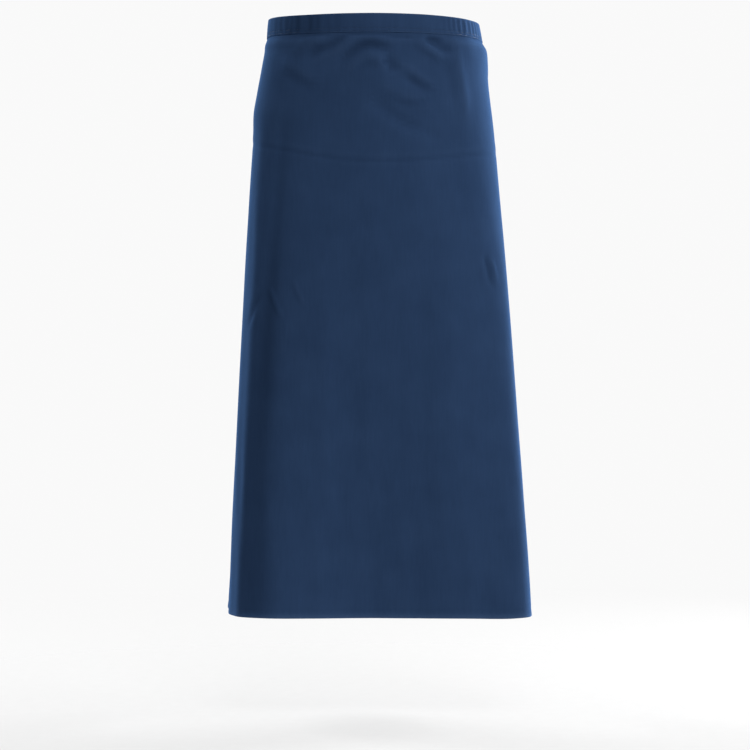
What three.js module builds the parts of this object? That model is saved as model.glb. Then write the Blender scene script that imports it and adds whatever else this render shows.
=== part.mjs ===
// Long waist apron, tied at the back. One rectangle of twill hangs from a folded waistband
// that goes round the wearer's waist, and two ties meet in a bow over the gap behind.
// Millimetres, +Z up, front towards -Y. The origin is the centre of the waist opening,
// half-way up the waistband. Left is -X and right is +X, as seen from the front.

import * as THREE from 'three';

// ---- Driving dimensions ----------------------------------------------------------------

const CLOTH_WIDTH = 1000;
const APRON_LENGTH = 1000;
const BAND_HEIGHT = 31;
const WAIST_WIDTH = 362;
const WAIST_DEPTH = 290;

const PLY = 0.8;
const GAP = 0.3;
const THREAD = 0.5;

const SEAM_ALLOWANCE = 6;
const HEM_HEIGHT = 13;
const SIDE_HEM_WIDTH = 12;
const HEM_START_V = 2;

// How far the hem stands in front of the waist, and how it dips between the legs.
const HEM_FORWARD = 22;
const LEG_DIP = THREE.MathUtils.degToRad(9);
const LEG_SPAN = 160;

// At the hem each half of the cloth runs across the front, turns a corner and hangs back as
// a flap. flare sets how early the cloth spreads out below the waist: 1 is a straight cone.
const RIGHT = { cornerAt: 251, cornerHalf: 50, cornerTurn: 92, flapTurn: 22, flare: 0.95 };
const LEFT = { cornerAt: 224, cornerHalf: 110, cornerTurn: 92, flapTurn: 24, flare: 0.6 };
const FLARE_BLEND = 150;
const FLARE_LEAD_IN = 25;
// Share of the height lost where a thread slants. The band gives way for the rest.
const SLANT_LIFT = 0.4;

// How finely the draped surface is cut into facets. The rows lie between two shares of the
// drop, and crowd towards the top.
const STATION_COUNT = 50;
const ROW_COUNT = 12;
const FIRST_ROW_SHARE = 0.08;
const LAST_ROW_SHARE = 0.94;
const ROW_CROWDING = 1.6;

// How finely the surface is added up across and down, and how far apart the points are that
// give its normal.
const ACROSS_STEP = 5;
const DOWN_STEP = 40;
const FEWEST_DOWN_STEPS = 4;
const NORMAL_REACH = 2;

const TIE_WIDTH = 20;
const TIE_CENTRE_Z = 1;
const TIE_INSET = 12;
const TIE_PLY = 1.6;
const TAIL_LENGTH = 560;
const TAIL_X = 11;
const TAIL_CLEARANCE = 1.3;
const TAIL_SEGMENTS = 8;

// Where a lead bends out between the band's end and the knot: its share of the end's distance
// from the middle, and how far it stands behind the end.
const LEAD_BENDS = [{ share: 0.72, behind: 0.9 }, { share: 0.5, behind: 2.6 }];
const LEAD_KNOT_SHARE = 0.42;

const KNOT_WIDTH = 26;
const KNOT_DEPTH = 14;
const KNOT_HEIGHT = 24;
const KNOT_FRONT_Y = 150;
const KNOT_ROUND = 4;

const LOOP_LENGTH = 92;
const LOOP_NECK = 7;
const LOOP_BELLY = 15;
const LOOP_DROOP = THREE.MathUtils.degToRad(24);
const LOOP_SWELL_SHARE = 0.5;
const KNOT_ARC_SEGMENTS = 4;
const LOOP_ARC_SEGMENTS = 8;

const STITCH_INSET = 2;
const STITCH_ROW_STEP = 5;
const BARTACK_WIDTH = 2;
const BARTACK_INSET = 8;
const HEM_BARTACK_INSET = 1;
const END_STITCH_INSET = 1.5;
const END_STITCH_HEIGHT = 8;

const LABEL_WIDTH = 30;
const LABEL_HEIGHT = 45;
const LABEL_PLY = 0.4;
const LABEL_AT = -330;
const LABEL_STEPS = 4;

// ---- Values worked out from them -------------------------------------------------------

const HALF = CLOTH_WIDTH / 2;
const SEAM_Z = -BAND_HEIGHT / 2;
const DROP = APRON_LENGTH - BAND_HEIGHT;
const HALF_PLY = PLY / 2;
const FACE = HALF_PLY + GAP;
const BAND_FACE = FACE + PLY + GAP;
const HEM_TOP_V = DROP - HEM_HEIGHT;
const HEM_STITCH_V = HEM_TOP_V + STITCH_INSET;
const KNOT_Y = KNOT_FRONT_Y + KNOT_DEPTH / 2;
const KNOT_BOTTOM = TIE_CENTRE_Z - KNOT_HEIGHT / 2;
const TAIL_TOP = KNOT_BOTTOM - PLY - TAIL_CLEARANCE;

// ---- Materials -------------------------------------------------------------------------

const NAVY = new THREE.MeshStandardMaterial({ color: 0x1f3a5f, roughness: 0.85, metalness: 0 });
const THREAD_NAVY = new THREE.MeshStandardMaterial({ color: 0x24436c, roughness: 0.6, metalness: 0 });
const STIFFENER = new THREE.MeshStandardMaterial({ color: 0xd8d8d2, roughness: 0.9, metalness: 0 });
const LABEL_WHITE = new THREE.MeshStandardMaterial({ color: 0xeeeeea, roughness: 0.5, metalness: 0 });

const apron = new THREE.Group();

function add(name, geometry, material) {
  const mesh = new THREE.Mesh(geometry, material);
  mesh.name = name;
  apron.add(mesh);
  return mesh;
}

// ---- The draped cloth surface ----------------------------------------------------------

function ease(x) {
  return THREE.MathUtils.smootherstep(x, 0, 1);
}

// Heading of the waist oval at each millimetre from the front centre.
function waistHeadings() {
  const a = WAIST_WIDTH / 2;
  const b = WAIST_DEPTH / 2;
  const headings = [];
  let angle = 0;
  for (let s = 0; s <= HALF; s += 1) {
    headings.push(Math.atan2(b * Math.sin(angle), a * Math.cos(angle)));
    const middle = angle + 0.5 / Math.hypot(a * Math.cos(angle), b * Math.sin(angle));
    angle += 1 / Math.hypot(a * Math.cos(middle), b * Math.sin(middle));
  }
  return headings;
}

const WAIST_HEADINGS = waistHeadings();

function waistHeading(s) {
  const below = Math.min(Math.floor(s), HALF - 1);
  return THREE.MathUtils.lerp(WAIST_HEADINGS[below], WAIST_HEADINGS[below + 1], s - below);
}

// Heading of the hem line at a distance s from the front centre.
function hemHeading(side, s) {
  const dip = -LEG_DIP * Math.sin(Math.PI * Math.min(s / LEG_SPAN, 1));
  const cornerStart = side.cornerAt - side.cornerHalf;
  const corner = ease((s - cornerStart) / (2 * side.cornerHalf));
  const flapStart = side.cornerAt + side.cornerHalf;
  const flap = ease((s - flapStart) / (HALF - flapStart));
  const turn = side.cornerTurn * corner + side.flapTurn * flap;
  return dip + THREE.MathUtils.degToRad(turn);
}

// 0 at the waist and 1 at the hem. The two sides flare differently, with a smooth change
// across the front.
function spread(s, v) {
  const across = ease((s / FLARE_BLEND + 1) / 2);
  const flare = THREE.MathUtils.lerp(LEFT.flare, RIGHT.flare, across);
  const start = Math.pow(FLARE_LEAD_IN, flare);
  const here = Math.pow(FLARE_LEAD_IN + Math.max(v, 0), flare);
  const end = Math.pow(FLARE_LEAD_IN + DROP, flare);
  return (here - start) / (end - start);
}

// Plan position of the cloth at a signed width s and a distance v below the band seam. The
// heading is integrated along the width, so every cross-section keeps the cloth's width.
function planPoint(s, v) {
  const side = s < 0 ? LEFT : RIGHT;
  const sign = Math.sign(s) || 1;
  const steps = Math.max(1, Math.ceil(Math.abs(s) / ACROSS_STEP));
  const step = Math.abs(s) / steps;
  let x = 0;
  let y = -WAIST_DEPTH / 2 - HEM_FORWARD * spread(0, v);
  for (let i = 0; i < steps; i += 1) {
    const along = (i + 0.5) * step;
    const mix = spread(sign * along, v);
    const heading = THREE.MathUtils.lerp(waistHeading(along), hemHeading(side, along), mix);
    x += step * Math.cos(heading);
    y += step * Math.sin(heading);
  }
  return new THREE.Vector2(sign * x, y);
}

// Where a thread of cloth slants outwards it reaches less far down.
function surfacePoint(s, v) {
  if (v <= 0) {
    const ring = planPoint(s, 0);
    return new THREE.Vector3(ring.x, ring.y, SEAM_Z - v);
  }
  const steps = Math.max(FEWEST_DOWN_STEPS, Math.ceil(v / DOWN_STEP));
  let here = planPoint(s, 0);
  let z = SEAM_Z;
  for (let i = 1; i <= steps; i += 1) {
    const next = planPoint(s, v * i / steps);
    const length = v / steps;
    z -= Math.sqrt(Math.max(length * length - SLANT_LIFT * next.distanceToSquared(here), 0));
    here = next;
  }
  return new THREE.Vector3(here.x, here.y, z);
}

// Frame of the cloth: a point on its middle surface and the outward normal there.
function clothFrame(s, v) {
  const across = surfacePoint(Math.min(s + NORMAL_REACH, HALF), v);
  across.sub(surfacePoint(Math.max(s - NORMAL_REACH, -HALF), v));
  const down = surfacePoint(s, Math.min(v + NORMAL_REACH, DROP));
  const above = v - NORMAL_REACH;
  down.sub(surfacePoint(s, v < 0 ? above : Math.max(above, 0)));
  const normal = down.cross(across).normalize();
  return { point: surfacePoint(s, v), normal };
}

// Lays a flat profile against the cloth and sweeps it along the width. The profile is a
// closed outline of (height off the cloth, distance below the seam): its first half runs
// along one face of the ply, and its second half comes back along the other. Both faces
// split their quads along the same diagonal, so that plies stay parallel where they twist.
function sweepAlongWidth(profile, stations) {
  const count = profile.length;
  const positions = [];
  for (const s of stations) {
    for (const corner of profile) {
      const { point, normal } = clothFrame(s, corner.y);
      point.addScaledVector(normal, corner.x);
      positions.push(point.x, point.y, point.z);
    }
  }
  const indices = [];
  for (let i = 0; i + 1 < stations.length; i += 1) {
    for (let j = 0; j < count; j += 1) {
      const a = i * count + j;
      const b = i * count + (j + 1) % count;
      if (j < count / 2) {
        indices.push(a, b, b + count, a, b + count, a + count);
      } else {
        indices.push(a, b, a + count, b, b + count, a + count);
      }
    }
  }
  const last = (stations.length - 1) * count;
  for (let j = 0; j + 1 < count / 2; j += 1) {
    const k = count - 1 - j;
    indices.push(j, k - 1, j + 1, j, k, k - 1);
    indices.push(last + j, last + j + 1, last + k - 1, last + j, last + k - 1, last + k);
  }
  const geometry = new THREE.BufferGeometry();
  geometry.setAttribute('position', new THREE.Float32BufferAttribute(positions, 3));
  geometry.setIndex(indices);
  return geometry;
}

function evenly(from, to, count) {
  return Array.from({ length: count + 1 }, (_, i) => THREE.MathUtils.lerp(from, to, i / count));
}

// Outline of one ply that lies between two heights off the cloth, through the given rows.
function plyOutline(inner, outer, rows) {
  const front = rows.map((v) => new THREE.Vector2(outer, v));
  const back = rows.map((v) => new THREE.Vector2(inner, v)).reverse();
  return front.concat(back);
}

const INNER_HALF = HALF - SIDE_HEM_WIDTH;
const INNER_STATIONS = evenly(-INNER_HALF, INNER_HALF, STATION_COUNT);
const WIDTH_STATIONS = [-HALF].concat(INNER_STATIONS, [HALF]);

// ---- Skirt panel and its turned hems ---------------------------------------------------

// Rows down the cloth, closer together where it turns out from under the band. Every ply
// on the skirt shares them, so that the facets of neighbouring plies stay parallel.
const ROW_SHARES = evenly(FIRST_ROW_SHARE, LAST_ROW_SHARE, ROW_COUNT);
const SKIRT_ROWS = [0, HEM_START_V]
  .concat(ROW_SHARES.map((share) => HEM_TOP_V * Math.pow(share, ROW_CROWDING)))
  .concat([HEM_TOP_V - GAP, DROP]);

function rowsBetween(low, high) {
  return [low].concat(SKIRT_ROWS.filter((v) => v > low && v < high), [high]);
}

function addSkirt() {
  const outline = plyOutline(-HALF_PLY, HALF_PLY, rowsBetween(-SEAM_ALLOWANCE, DROP));
  add('skirt_panel', sweepAlongWidth(outline, WIDTH_STATIONS), NAVY);
}

function addHems() {
  const inner = -FACE - 2 * PLY;
  const bottomOutline = plyOutline(inner, -FACE, [HEM_TOP_V, DROP]);
  add('bottom_hem', sweepAlongWidth(bottomOutline, WIDTH_STATIONS), NAVY);
  const sideOutline = plyOutline(inner, -FACE, rowsBetween(HEM_START_V, HEM_TOP_V - GAP));
  add('side_hem_left', sweepAlongWidth(sideOutline, [-HALF, -INNER_HALF]), NAVY);
  add('side_hem_right', sweepAlongWidth(sideOutline, [INNER_HALF, HALF]), NAVY);
}

// ---- Waistband: one strip folded over its top edge, and the stiffener inside it ---------

function addWaistband() {
  const top = -BAND_HEIGHT;
  const outer = FACE + PLY;
  const folded = [
    new THREE.Vector2(FACE, 0),
    new THREE.Vector2(FACE, top + PLY),
    new THREE.Vector2(-FACE, top + PLY),
    new THREE.Vector2(-FACE, 0),
    new THREE.Vector2(-outer, 0),
    new THREE.Vector2(-outer, top),
    new THREE.Vector2(outer, top),
    new THREE.Vector2(outer, 0),
  ];
  add('waistband', sweepAlongWidth(folded, WIDTH_STATIONS), NAVY);

  const lower = -SEAM_ALLOWANCE - GAP;
  const upper = top + PLY + GAP;
  const stiffener = plyOutline(-HALF_PLY, HALF_PLY, [upper, lower]);
  const stations = INNER_STATIONS.slice(1, -1);
  add('waistband_interlining', sweepAlongWidth(stiffener, stations), STIFFENER);
}

// ---- Ties: leads out of the band ends, the bow, and the hanging tails -------------------

// A lead starts inside the end of the band, follows the waist and bends out to the knot.
function addLead(name, sign) {
  const knotReach = KNOT_FRONT_Y - GAP;
  const path = [HALF - TIE_INSET, HALF - TIE_INSET / 2, HALF].map((s) => planPoint(s, 0));
  const end = path[2];
  for (const bend of LEAD_BENDS) {
    path.push(new THREE.Vector2(end.x * bend.share, end.y + bend.behind));
  }
  path.push(new THREE.Vector2(end.x * LEAD_KNOT_SHARE, knotReach));
  const near = [];
  const far = [];
  path.forEach((point, i) => {
    const before = path[Math.max(i - 1, 0)];
    const after = path[Math.min(i + 1, path.length - 1)];
    const along = after.clone().sub(before).normalize();
    const across = new THREE.Vector2(along.y, -along.x).multiplyScalar(HALF_PLY);
    near.push(point.clone().add(across));
    far.push(point.clone().sub(across));
  });
  near[near.length - 1].y = knotReach;
  far[far.length - 1].y = knotReach;
  const outline = near.concat(far.reverse()).map((p) => new THREE.Vector2(p.x * sign, p.y));
  const options = { depth: TIE_WIDTH, bevelEnabled: false };
  const lead = add(name, new THREE.ExtrudeGeometry(new THREE.Shape(outline), options), NAVY);
  lead.position.z = TIE_CENTRE_Z - TIE_WIDTH / 2;
}

function addKnot() {
  const round = KNOT_ROUND;
  const x = KNOT_WIDTH / 2 - round;
  const z = KNOT_HEIGHT / 2 - round;
  const face = new THREE.Shape();
  face.absarc(x, z, round, 0, Math.PI / 2);
  face.absarc(-x, z, round, Math.PI / 2, Math.PI);
  face.absarc(-x, -z, round, Math.PI, 1.5 * Math.PI);
  face.absarc(x, -z, round, 1.5 * Math.PI, 2 * Math.PI);
  const options = { depth: KNOT_DEPTH, bevelEnabled: false, curveSegments: KNOT_ARC_SEGMENTS };
  const knot = add('bow_knot', new THREE.ExtrudeGeometry(face, options), NAVY);
  knot.rotation.x = Math.PI / 2;
  knot.position.set(0, KNOT_FRONT_Y + KNOT_DEPTH, TIE_CENTRE_Z);
}

// Half of a loop's outline: it widens from the neck to a belly and closes in a round end.
function loopOutline(inset) {
  const neck = LOOP_NECK / 2 - inset;
  const belly = LOOP_BELLY / 2 - inset;
  const start = inset;
  const round = LOOP_LENGTH - LOOP_BELLY / 2;
  const swell = round * LOOP_SWELL_SHARE;
  const outline = new THREE.Shape();
  outline.moveTo(start, -neck);
  outline.quadraticCurveTo(swell, -belly, round, -belly);
  outline.absarc(round, 0, belly, -Math.PI / 2, Math.PI / 2);
  outline.quadraticCurveTo(swell, belly, start, neck);
  outline.closePath();
  return outline;
}

function addLoop(name, sign) {
  const shape = loopOutline(0);
  shape.holes.push(loopOutline(TIE_PLY));
  const options = { depth: TIE_WIDTH, bevelEnabled: false, curveSegments: LOOP_ARC_SEGMENTS };
  const geometry = new THREE.ExtrudeGeometry(shape, options);
  geometry.translate(0, 0, -TIE_WIDTH / 2);
  const droop = new THREE.Group();
  const loop = new THREE.Mesh(geometry, NAVY);
  loop.name = name;
  if (sign < 0) {
    loop.rotation.z = Math.PI;
  }
  droop.add(loop);
  droop.rotation.y = sign * LOOP_DROOP;
  const neckDrop = Math.sin(LOOP_DROOP) * TIE_WIDTH / 2;
  droop.position.set(sign * (KNOT_WIDTH / 2 + neckDrop + GAP), KNOT_Y, TIE_CENTRE_Z);
  apron.add(droop);
}

function addTail(name, sign) {
  const geometry = new THREE.BoxGeometry(TIE_WIDTH, TIE_PLY, TAIL_LENGTH, 1, 1, TAIL_SEGMENTS);
  const tail = add(name, geometry, NAVY);
  tail.position.set(sign * TAIL_X, KNOT_Y, TAIL_TOP - TAIL_LENGTH / 2);
}

// ---- Sewing thread and label -----------------------------------------------------------

// One row of stitching lies just off the outside of the cloth it holds.
function threadRow(face, v, stations) {
  const half = THREAD / 2;
  return sweepAlongWidth(plyOutline(face, face + THREAD, [v - half, v + half]), stations);
}

function addStitching() {
  const upperV = -STITCH_INSET - STITCH_ROW_STEP;
  add('band_stitch_lower', threadRow(BAND_FACE, -STITCH_INSET, WIDTH_STATIONS), THREAD_NAVY);
  add('band_stitch_upper', threadRow(BAND_FACE, upperV, WIDTH_STATIONS), THREAD_NAVY);
  add('hem_stitch', threadRow(FACE, HEM_STITCH_V, INNER_STATIONS), THREAD_NAVY);

  const sideOutline = plyOutline(FACE, FACE + THREAD, rowsBetween(HEM_START_V, HEM_TOP_V));
  const sideAt = INNER_HALF + STITCH_INSET;
  add('side_stitch_left', sweepAlongWidth(sideOutline, [-sideAt - THREAD, -sideAt]), THREAD_NAVY);
  add('side_stitch_right', sweepAlongWidth(sideOutline, [sideAt, sideAt + THREAD]), THREAD_NAVY);
}

// Dense bars of thread lock the ends of the ties and the corners of the hem.
function addBartacks() {
  const tieCentreV = SEAM_Z - TIE_CENTRE_Z;
  const barReach = TIE_WIDTH / 2 - STITCH_INSET;
  const tieRows = [tieCentreV - barReach, tieCentreV + barReach];
  const tieBar = plyOutline(BAND_FACE, BAND_FACE + THREAD, tieRows);
  const tieEnd = HALF - BARTACK_INSET;
  const tieStart = tieEnd - BARTACK_WIDTH;
  add('tie_bartack_left', sweepAlongWidth(tieBar, [-tieEnd, -tieStart]), THREAD_NAVY);
  add('tie_bartack_right', sweepAlongWidth(tieBar, [tieStart, tieEnd]), THREAD_NAVY);

  const hemBar = plyOutline(FACE, FACE + THREAD, [HEM_STITCH_V - THREAD, HEM_STITCH_V + THREAD]);
  const cornerStart = INNER_HALF + HEM_BARTACK_INSET;
  const cornerEnd = HALF - HEM_BARTACK_INSET;
  add('hem_bartack_left', sweepAlongWidth(hemBar, [-cornerEnd, -cornerStart]), THREAD_NAVY);
  add('hem_bartack_right', sweepAlongWidth(hemBar, [cornerStart, cornerEnd]), THREAD_NAVY);
}

function addTailStitch(name, sign) {
  const geometry = new THREE.BoxGeometry(TIE_WIDTH - 2 * END_STITCH_INSET, THREAD, THREAD);
  const stitch = add(name, geometry, THREAD_NAVY);
  const y = KNOT_Y + TIE_PLY / 2 + GAP + THREAD / 2;
  stitch.position.set(sign * TAIL_X, y, TAIL_TOP - TAIL_LENGTH + END_STITCH_HEIGHT);
}

function addCareLabel() {
  const near = -FACE - GAP;
  const outline = plyOutline(near - LABEL_PLY, near, rowsBetween(HEM_START_V, LABEL_HEIGHT));
  const stations = evenly(LABEL_AT - LABEL_WIDTH / 2, LABEL_AT + LABEL_WIDTH / 2, LABEL_STEPS);
  add('care_label', sweepAlongWidth(outline, stations), LABEL_WHITE);
}

// ---- Assembly --------------------------------------------------------------------------

addSkirt();
addHems();
addWaistband();
addLead('tie_lead_left', -1);
addLead('tie_lead_right', 1);
addKnot();
addLoop('bow_loop_left', -1);
addLoop('bow_loop_right', 1);
addTail('tie_tail_left', -1);
addTail('tie_tail_right', 1);
addStitching();
addBartacks();
addTailStitch('tie_end_stitch_left', -1);
addTailStitch('tie_end_stitch_right', 1);
addCareLabel();

export default apron;
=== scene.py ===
"""A long navy waist apron, hung as it is worn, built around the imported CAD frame.

Metres, +Z up, front towards -Y, origin in the middle of the waist opening. A point of the
flat cut is (s, v): s is the distance to the right of the front centre line, and v is the
distance down from the waistband's lower edge. Left and right are as seen from the front.
"""

import math
from collections import namedtuple

import bpy
import numpy as np
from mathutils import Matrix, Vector


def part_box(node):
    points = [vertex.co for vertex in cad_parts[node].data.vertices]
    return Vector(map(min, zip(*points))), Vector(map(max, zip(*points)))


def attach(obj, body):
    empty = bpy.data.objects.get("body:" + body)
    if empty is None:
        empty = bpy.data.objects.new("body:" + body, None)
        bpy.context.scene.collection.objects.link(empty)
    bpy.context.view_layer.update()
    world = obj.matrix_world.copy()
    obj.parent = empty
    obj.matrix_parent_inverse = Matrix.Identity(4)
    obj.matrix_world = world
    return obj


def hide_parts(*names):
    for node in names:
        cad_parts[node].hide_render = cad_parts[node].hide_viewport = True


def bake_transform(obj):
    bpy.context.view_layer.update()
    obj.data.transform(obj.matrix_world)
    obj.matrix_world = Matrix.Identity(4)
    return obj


MM = 0.001
SIDES = (("left", -1), ("right", 1))

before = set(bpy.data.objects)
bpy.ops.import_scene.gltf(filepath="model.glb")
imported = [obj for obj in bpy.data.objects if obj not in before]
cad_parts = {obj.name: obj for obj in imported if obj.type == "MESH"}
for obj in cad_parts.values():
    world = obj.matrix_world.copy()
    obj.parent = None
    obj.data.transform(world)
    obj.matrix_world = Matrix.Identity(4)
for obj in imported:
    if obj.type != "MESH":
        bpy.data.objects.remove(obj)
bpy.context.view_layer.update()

# ---- The cut, and the pose in which the cloth hangs: the CAD's own dimensions ----

CLOTH_WIDTH = 1.0
APRON_LENGTH = 1.0
WAIST_WIDTH = 0.362
WAIST_DEPTH = 0.290
BAND_LOW, BAND_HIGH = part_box("waistband")
SEAM_Z = BAND_LOW.z
BAND_HEIGHT = BAND_HIGH.z - BAND_LOW.z
HALF = CLOTH_WIDTH / 2
DROP = APRON_LENGTH - BAND_HEIGHT

HEM_FORWARD = 0.022
LEG_DIP = math.radians(9)
LEG_SPAN = 0.160
RIGHT = dict(corner_at=0.251, corner_half=0.050, corner_turn=92, flap_turn=22, flare=0.95)
LEFT = dict(corner_at=0.224, corner_half=0.110, corner_turn=92, flap_turn=24, flare=0.60)
FLARE_BLEND = 0.150
FLARE_LEAD_IN = 0.025
SLANT_LIFT = 0.4

SEAM_ALLOWANCE = 0.006
HEM_HEIGHT = 0.013
SIDE_HEM_WIDTH = 0.012
HEM_TOP = DROP - HEM_HEIGHT
HEM_STITCH_V = HEM_TOP + 2 * MM
SIDE_STITCH_S = HALF - SIDE_HEM_WIDTH + 2 * MM

PLY = 0.00055
THREAD = 0.00042
STITCH_PITCH = 0.0029
STITCH_LENGTH = 0.0023

TABLE_STEP = 0.002


# ---- The draped surface ----

def ease(x):
    """0 to 1 with no slope or curvature at either end."""
    x = np.clip(x, 0.0, 1.0)
    return x * x * x * (x * (6 * x - 15) + 10)


def bell(x, width):
    """1 at zero, falling smoothly to nothing about two widths away."""
    return np.exp(-(x / width) ** 2)


def unit(vectors):
    """The same directions, with a length of one."""
    return vectors / np.linalg.norm(vectors, axis=-1, keepdims=True)


def waist_heading(s):
    """Heading of the waist oval at each distance s from the front centre."""
    a, b = WAIST_WIDTH / 2, WAIST_DEPTH / 2
    angle = np.linspace(0, math.pi, 4001)
    speed = np.hypot(a * np.cos(angle), b * np.sin(angle))
    run = np.concatenate([[0], np.cumsum((speed[1:] + speed[:-1]) / 2 * np.diff(angle))])
    return np.interp(s, run, np.arctan2(b * np.sin(angle), a * np.cos(angle)))


def hem_heading(side, s):
    """Heading of the hem line at each distance s from the front centre."""
    dip = -LEG_DIP * np.sin(math.pi * np.minimum(s / LEG_SPAN, 1))
    corner_start = side["corner_at"] - side["corner_half"]
    corner = ease((s - corner_start) / (2 * side["corner_half"]))
    flap_start = side["corner_at"] + side["corner_half"]
    flap = ease((s - flap_start) / (HALF - flap_start))
    return dip + np.radians(side["corner_turn"] * corner + side["flap_turn"] * flap)


def spread(s, v):
    """How far the cloth has opened out from the waist, 0, to the hem, 1."""
    across = ease((s / FLARE_BLEND + 1) / 2)
    flare = LEFT["flare"] + (RIGHT["flare"] - LEFT["flare"]) * across
    start = FLARE_LEAD_IN ** flare
    end = (FLARE_LEAD_IN + DROP) ** flare
    return ((FLARE_LEAD_IN + np.maximum(v, 0)) ** flare - start) / (end - start)


def half_plan(side, sign, s, v):
    """Plan positions of one half of the cloth, by adding up its heading along the width."""
    middle = (s[1:] + s[:-1]) / 2
    step = np.diff(s)
    mix = spread(sign * middle[None, :], v[:, None])
    heading = (1 - mix) * waist_heading(middle) + mix * hem_heading(side, middle)
    start = np.zeros((len(v), 1))
    x = np.concatenate([start, np.cumsum(np.cos(heading) * step, axis=1)], axis=1)
    y = np.concatenate([start, np.cumsum(np.sin(heading) * step, axis=1)], axis=1)
    front = -WAIST_DEPTH / 2 - HEM_FORWARD * spread(np.zeros_like(v), v)
    return sign * x, y + front[:, None]


def smooth_drape(s_axis, v_axis):
    """The cloth with no folds in it: one point for each row v and column s."""
    middle = len(s_axis) // 2
    right_x, right_y = half_plan(RIGHT, 1, s_axis[middle:], v_axis)
    left_x, left_y = half_plan(LEFT, -1, -s_axis[middle::-1], v_axis)
    points = np.zeros((len(v_axis), len(s_axis), 3))
    points[:, middle:, 0], points[:, middle:, 1] = right_x, right_y
    points[:, middle::-1, 0], points[:, middle::-1, 1] = left_x, left_y
    run = np.diff(v_axis)[:, None]
    slant = (np.diff(points[:, :, :2], axis=0) ** 2).sum(axis=2)
    fall = np.sqrt(np.maximum(run ** 2 - SLANT_LIFT * slant, 0))
    points[:, :, 2] = -np.concatenate([np.zeros((1, len(s_axis))), np.cumsum(fall, axis=0)])
    points[:, :, 2] += SEAM_Z - np.interp(0, v_axis, points[:, middle, 2])
    return points


def normals_of(points):
    """Unit normals of a grid of points, pointing out of the apron."""
    down, across = np.gradient(points, axis=0), np.gradient(points, axis=1)
    return unit(np.cross(down, across))


class Drape:
    """The folded cloth as a table of points and normals, read between its nodes."""

    def __init__(self, s_axis, v_axis, points, hollow):
        self.s_axis, self.v_axis = s_axis, v_axis
        self.points, self.hollow = points, hollow[:, :, None]
        self.normals = normals_of(points)

    def read(self, table, s, v):
        """Values of a table at any (s, v), mixed from the four nodes around it."""
        column = np.clip((s - self.s_axis[0]) / TABLE_STEP, 0, len(self.s_axis) - 1.000001)
        row = np.clip((v - self.v_axis[0]) / TABLE_STEP, 0, len(self.v_axis) - 1.000001)
        i, j = row.astype(int), column.astype(int)
        a, b = (row - i)[..., None], (column - j)[..., None]
        upper = table[i, j] * (1 - b) + table[i, j + 1] * b
        lower = table[i + 1, j] * (1 - b) + table[i + 1, j + 1] * b
        return upper * (1 - a) + lower * a

    def at(self, s, v, lift):
        """Places at a height above the cloth, and the normals there."""
        s, v, lift = np.broadcast_arrays(s, v, lift)
        normal = unit(self.read(self.normals, s, v))
        return self.read(self.points, s, v) + normal * lift[..., None], normal


# ---- Folds, creases and puckers, as heights over the smooth drape ----

# A fold runs along a path of points (s, v) on the cut. It stands height out of the cloth, or
# sinks into it where that is below zero, and falls away over width on either side. All three
# are in millimetres, and a width or height may be a pair, for the two ends of the path. It
# fades in over a share of its length, and fades out again unless it runs off the hem.
Fold = namedtuple("Fold", "path width height fade off_hem", defaults=(0.42, False))
FLUTE = {"fade": 0.2, "off_hem": True}

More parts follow.
